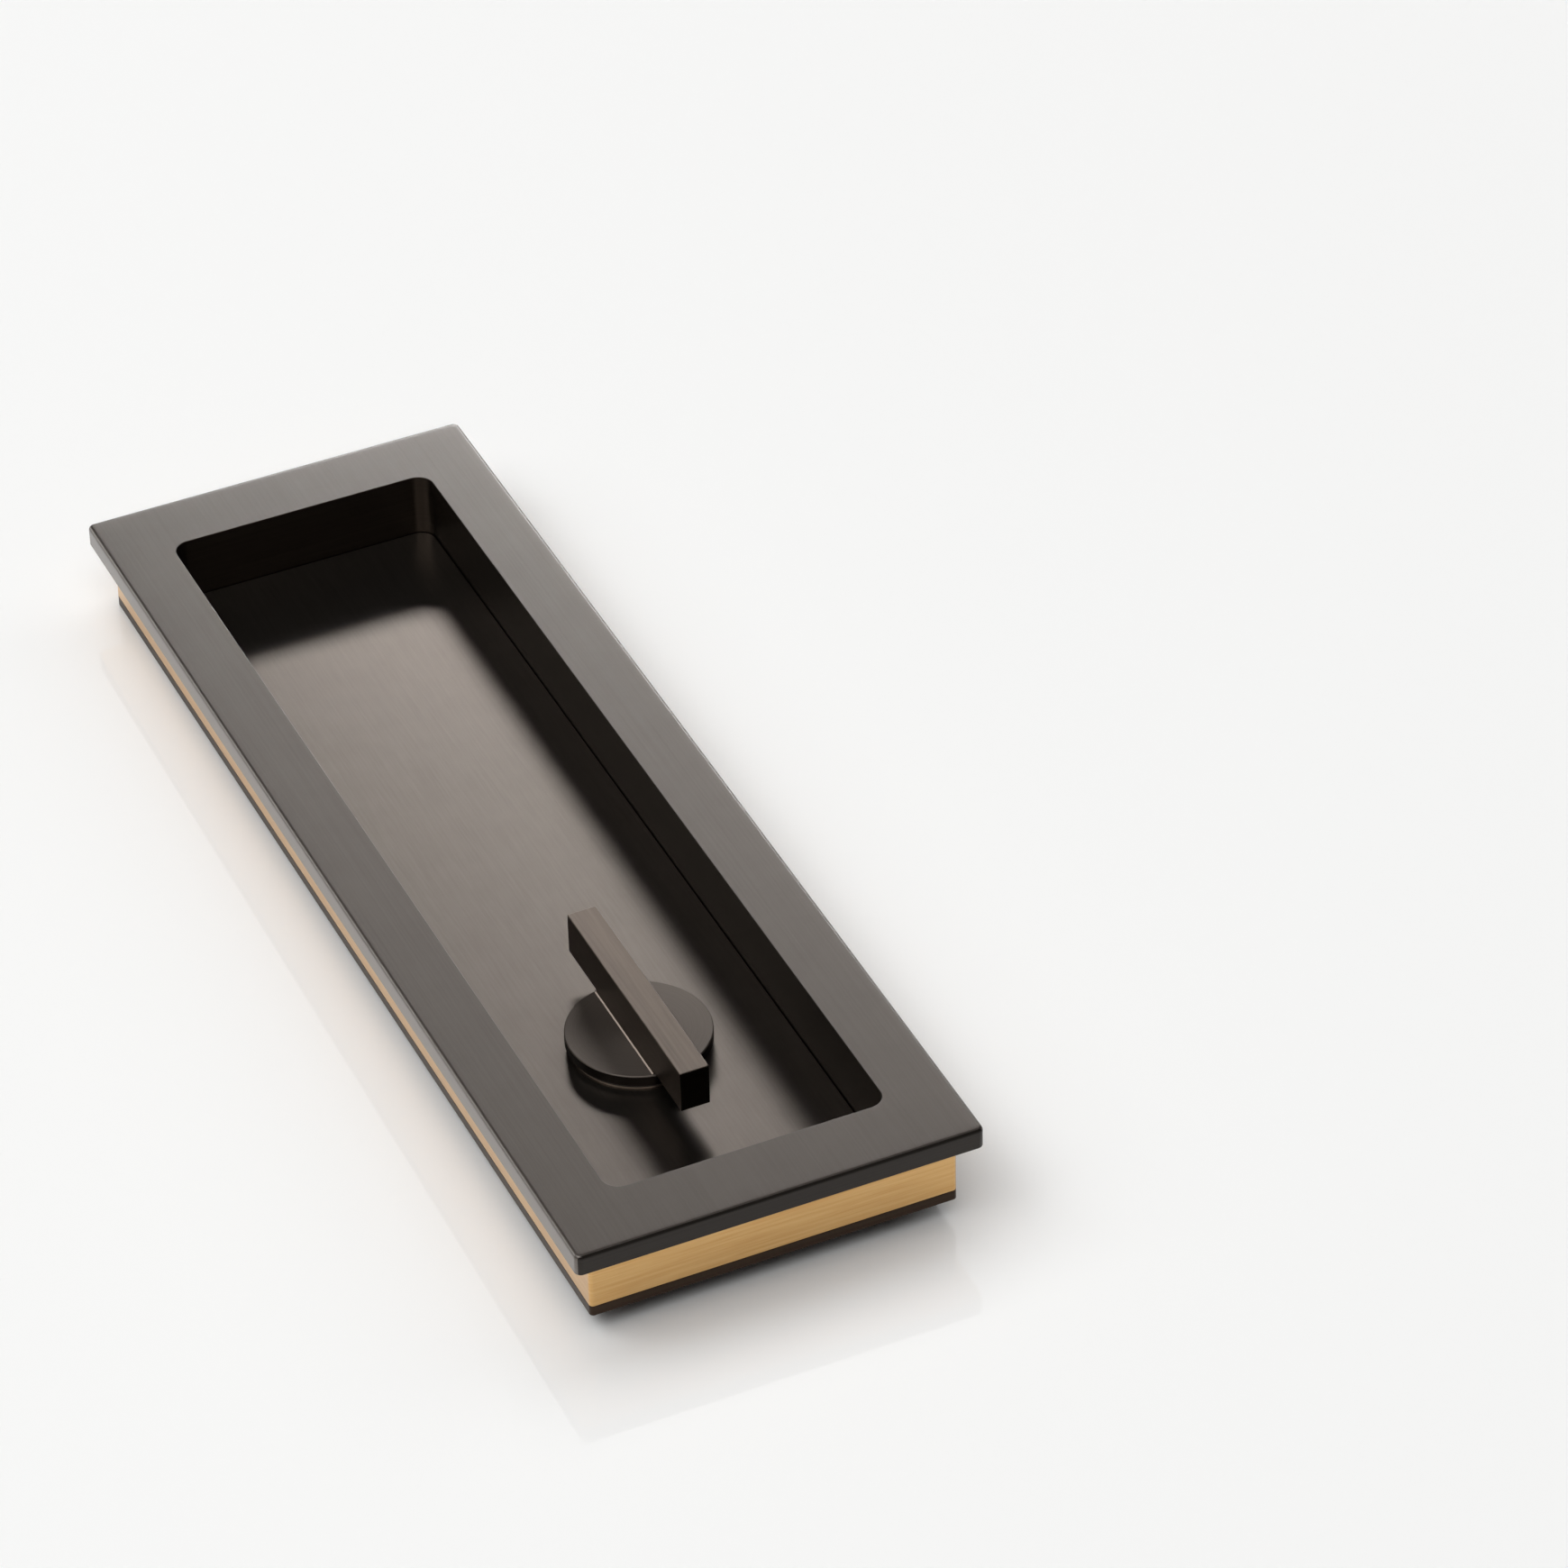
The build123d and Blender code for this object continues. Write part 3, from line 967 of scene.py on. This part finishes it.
@dataclass
class ThumbTurn:
    """Disc with its journal, and the blade on it."""

    finishes: Finishes
    turn_y: float
    journal: float = 10.0
    groove_depth: float = 0.3
    socket: float = 5.1
    socket_depth: float = 6.0
    socket_corner: float = 0.01
    disc_edge: float = 0.2
    fine_edge: float = 0.1
    blade_half_width: float = 2.15
    blade_edge: float = 0.15
    foot_height: float = 0.45
    foot_slope: float = 0.16
    foot_spread: float = 0.17
    foot_inset: float = 0.5
    joint_sink: float = 0.3
    joint_inset: float = 0.01

    def disc(self) -> None:
        """Makes the disc and journal, with the groove and the square socket."""
        low, high = box_mm("turn_disc")
        under_z = box_mm("thrust_washer")[1][2]
        groove_top = box_mm("plain_washer")[0][2]
        groove_end = box_mm("retaining_ring")[0][2]
        journal_r, disc_r = self.journal / 2, high[0]
        groove_r = journal_r - self.groove_depth
        edge = self.fine_edge
        section = np.concatenate([
            bend(np.array([journal_r, low[2]]), AWAY, RISE, edge),
            bend(np.array([journal_r, groove_end]), RISE, -AWAY, edge / 2),
            bend(np.array([groove_r, groove_end]), -AWAY, RISE, edge / 2),
            bend(np.array([groove_r, groove_top]), RISE, AWAY, edge / 2),
            bend(np.array([journal_r, groove_top]), AWAY, RISE, edge / 2),
            bend(np.array([journal_r, under_z]), RISE, AWAY, edge),
            bend(np.array([disc_r, under_z]), AWAY, RISE, edge),
            bend(np.array([disc_r, high[2]]), RISE, -AWAY, self.disc_edge),
        ])
        disc = add_surface("turn_disc_turned", turned_rings(section, (0.0, self.turn_y)), closed=False)
        half = self.socket / 2
        square = np.array([
            (half, half, self.socket_corner, low[2] - CUT_PAST),
            (half, half, self.socket_corner, low[2] + self.socket_depth),
        ])
        socket = add_surface("socket", rectangle_rings(square, self.turn_y), closed=False)
        carve(disc, [socket] + BLADE_SCREWS.tools(), Carving.CUT)
        x, y, z = face_middles(disc)
        # The disc's edge gets the painted shade
        rim = (np.hypot(x, y - self.turn_y) > disc_r - edge) & (z < high[2] - self.disc_edge)
        others = ((self.finishes.bronze_edge, rim),)
        dress(disc, "turn_disc", "turn", self.finishes.bronze_disc, others)

    def blade(self) -> None:
        """Makes the blade: a bar with softened edges and ends darkened as painted shade, on a foot with
        sloping sides.
        """
        low, high = box_mm("turn_blade")
        disc_z = box_mm("turn_disc")[1][2]
        bar_z = disc_z + self.foot_height
        half_x, half_y = self.blade_half_width, (high[1] - low[1]) / 2
        edge = self.blade_edge
        foot_y = box_mm("turn_disc")[1][0] - self.foot_inset
        bar = np.concatenate([
            bend(np.array([half_x, half_y, edge, bar_z]), OUTWARD, UPWARD, edge),
            bend(np.array([half_x, half_y, edge, high[2]]), UPWARD, -OUTWARD, edge),
        ])
        neck, foot_corner = half_x - self.joint_inset, edge / 3
        foot = np.array([
            (half_x + self.foot_spread, foot_y, foot_corner, disc_z),
            (neck, foot_y, foot_corner, disc_z + self.foot_slope),
            (neck, foot_y, foot_corner, bar_z + self.joint_sink),
        ])
        blade = add_surface("turn_blade_brushed", rectangle_rings(bar, self.turn_y), closed=False)
        carve(blade, [add_surface("foot", rectangle_rings(foot, self.turn_y), closed=False)], Carving.JOIN)
        carve(blade, BLADE_SCREWS.tools(), Carving.CUT)
        _, y, z = face_middles(blade)
        # The blade's ends get the painted shade
        end = (np.abs(y - self.turn_y) > half_y - edge / 2) & (z < high[2] - edge / 2)
        others = ((self.finishes.bronze_edge, end),)
        dress(blade, "turn_blade", "turn", self.finishes.bronze_blade, others)

    def build(self) -> None:
        """Makes both pieces."""
        self.disc()
        self.blade()


class Reach(Enum):
    """Surfaces that a lamp lights: whether it reaches matt ones, and whether polished ones."""

    ALL = (True, True)
    MATT = (True, False)
    POLISHED = (False, True)


@dataclass(frozen=True)
class Softbox:
    """A large even lamp that faces the pull."""

    name: str
    azimuth_deg: float
    elevation_deg: float
    distance_m: float
    width_m: float
    height_m: float
    brightness: float
    reach: Reach = Reach.ALL
    only_on: bpy.types.Object | None = None

    def build(self) -> None:
        """Hangs the lamp at its azimuth, clockwise from behind the pull, and its elevation."""
        azimuth, elevation = math.radians(self.azimuth_deg), math.radians(self.elevation_deg)
        towards = Vector((
            math.sin(azimuth) * math.cos(elevation),
            math.cos(azimuth) * math.cos(elevation),
            math.sin(elevation),
        ))
        lamp = bpy.data.lights.new(self.name, "AREA")
        lamp.shape = "RECTANGLE"
        lamp.size, lamp.size_y = self.width_m, self.height_m
        lamp.energy = LAMP_WATTS * self.brightness * self.width_m * self.height_m
        hung = bpy.data.objects.new(self.name, lamp)
        hung.location = towards * self.distance_m
        hung.rotation_euler = towards.to_track_quat("Z", "Y").to_euler()
        hung.visible_camera = False
        hung.visible_diffuse, hung.visible_glossy = self.reach.value
        if self.only_on:
            hung.light_linking.receiver_collection = bpy.data.collections.new(self.name)
            hung.light_linking.receiver_collection.objects.link(self.only_on)
        bpy.context.scene.collection.objects.link(hung)


@dataclass(frozen=True)
class PhotoCamera:
    """Camera of the photograph: where it stands from the point that it looks at."""

    azimuth_deg: float = -23.969
    elevation_deg: float = 38.113
    roll_deg: float = 1.383
    lens_mm: float = 170.73
    distance_mm: float = 1041.0
    aim_mm: tuple[float, float, float] = (36.53, -11.40, 3.2)

    def build(self) -> None:
        """Sets up the camera: right and up are turned about the line of sight by the roll."""
        azimuth, elevation, roll = (
            math.radians(angle) for angle in (self.azimuth_deg, self.elevation_deg, self.roll_deg)
        )
        back = Vector((
            math.sin(azimuth) * math.cos(elevation),
            -math.cos(azimuth) * math.cos(elevation),
            math.sin(elevation),
        ))
        level = Vector((0.0, 0.0, 1.0)).cross(back).normalized()
        upright = back.cross(level)
        right = level * math.cos(roll) - upright * math.sin(roll)
        up = upright * math.cos(roll) + level * math.sin(roll)
        lens = bpy.data.cameras.new("photo_camera")
        lens.lens = self.lens_mm
        camera = bpy.data.objects.new("photo_camera", lens)
        place = (Vector(self.aim_mm) + back * self.distance_mm) * MM
        camera.matrix_world = Matrix.Translation(place) @ Matrix((right, up, back)).transposed().to_4x4()
        bpy.context.scene.collection.objects.link(camera)
        bpy.context.scene.camera = camera


@dataclass
class Studio:
    """White table, soft lamps, faint room light and the camera."""

    turn_y: float
    table_reach_m: float = 4.0
    pale_colour: str = "#ededed"
    dim_colour: str = "#282828"
    pale_height: float = 0.03
    dim_height: float = 0.14

    def table(self) -> bpy.types.Object:
        """Lays the table where the pull rests: on the back edge of its plate and on the journal's end.

        The height is a plane in two parameters: height = back height + slope * (y - back y).

        Returns:
            The table.
        """
        plate_low, plate_high = box_mm("base_plate")
        back_y, back_z = plate_high[1], plate_low[2]
        journal_y, journal_z = self.turn_y + ThumbTurn.journal / 2, box_mm("turn_disc")[0][2]
        slope = (back_z - journal_z) / (back_y - journal_y)
        reach = self.table_reach_m / MM
        x, y = np.meshgrid([-reach, reach], [-reach, reach])
        points = np.stack([x, y, back_z + slope * (y - back_y)], axis=-1).reshape(-1, 3) * MM
        mesh = bpy.data.meshes.new("table")
        mesh.from_pydata(points.tolist(), [], [(0, 1, 3, 2)])
        mesh.materials.append(WhiteTable().material())
        table = bpy.data.objects.new("table", mesh)
        bpy.context.scene.collection.objects.link(table)
        return table

    def room(self) -> None:
        """Fills the room with light that is pale near the table's edge and dim above it."""
        world = bpy.data.worlds.new("studio")
        world.use_nodes = True
        tree = world.node_tree
        way = add_node(tree, "ShaderNodeTexCoord")
        height = add_node(tree, "ShaderNodeSeparateXYZ", {0: way.outputs["Generated"]})
        share = add_node(
            tree,
            "ShaderNodeMapRange",
            {"Value": height.outputs["Z"], "From Min": self.pale_height, "From Max": self.dim_height},
            interpolation_type="SMOOTHSTEP",
        )
        tone = add_node(
            tree,
            "ShaderNodeMix",
            {
                SHARE: share.outputs[0],
                COLOUR_A: linear(self.pale_colour),
                COLOUR_B: linear(self.dim_colour),
            },
            data_type="RGBA",
        )
        tree.links.new(tone.outputs[MIXED], tree.nodes["Background"].inputs["Color"])
        bpy.context.scene.world = world
        bpy.context.scene.view_settings.view_transform = "Standard"

    def lamps(self, table: bpy.types.Object) -> list[Softbox]:
        """Lists the lamps.

        Args:
            table: the table, which alone mirrors the white card.

        Returns:
            The lamps, in the order that they are hung.
        """
        return [
            # Strips behind the pull, which draw the sheen of its flange, floor, disc and rounded edges
            Softbox(
                "back_right_strip", azimuth_deg=28.0, elevation_deg=25.0, distance_m=1.38,
                width_m=0.59, height_m=0.12, brightness=25.5, reach=Reach.POLISHED,
            ),
            Softbox(
                "back_left_strip", azimuth_deg=-38.0, elevation_deg=19.0, distance_m=1.4,
                width_m=0.66, height_m=0.26, brightness=4.5, reach=Reach.POLISHED,
            ),
            # Large softboxes, which keep the table white and the shadows soft
            Softbox(
                "top_softbox", azimuth_deg=-8.0, elevation_deg=66.0, distance_m=3.0,
                width_m=5.0, height_m=2.2, brightness=1.72, reach=Reach.MATT,
            ),
            Softbox(
                "left_softbox", azimuth_deg=-80.0, elevation_deg=46.0, distance_m=3.0,
                width_m=2.4, height_m=2.2, brightness=1.05,
            ),
            Softbox(
                "right_softbox", azimuth_deg=85.0, elevation_deg=35.0, distance_m=2.5,
                width_m=1.6, height_m=1.2, brightness=1.1, reach=Reach.MATT,
            ),
            # Fill from the camera's side, which opens the shade in the recess
            Softbox(
                "front_fill", azimuth_deg=222.0, elevation_deg=62.0, distance_m=3.2,
                width_m=3.2, height_m=1.9, brightness=2.6,
            ),
            # White card behind the pull, for the table's mirror image alone
            Softbox(
                "white_card", azimuth_deg=24.0, elevation_deg=38.0, distance_m=2.0,
                width_m=1.4, height_m=1.2, brightness=1.0, reach=Reach.POLISHED, only_on=table,
            ),
        ]

    def build(self) -> None:
        """Sets the stage."""
        table = self.table()
        self.room()
        for lamp in self.lamps(table):
            lamp.build()
        PhotoCamera().build()


def main() -> None:
    logging.basicConfig(level=logging.INFO, format="%(message)s")
    disc_low, disc_high = box_mm("turn_disc")
    turn_y = (disc_low[1] + disc_high[1]) / 2
    finishes = Finishes(turn_y)
    PullFrame(finishes).build()
    BasePlate(finishes, turn_y).build()
    TurnBearing(finishes, turn_y).build()
    ThumbTurn(finishes, turn_y).build()
    Studio(turn_y).build()


if __name__ == "__main__":
    main()
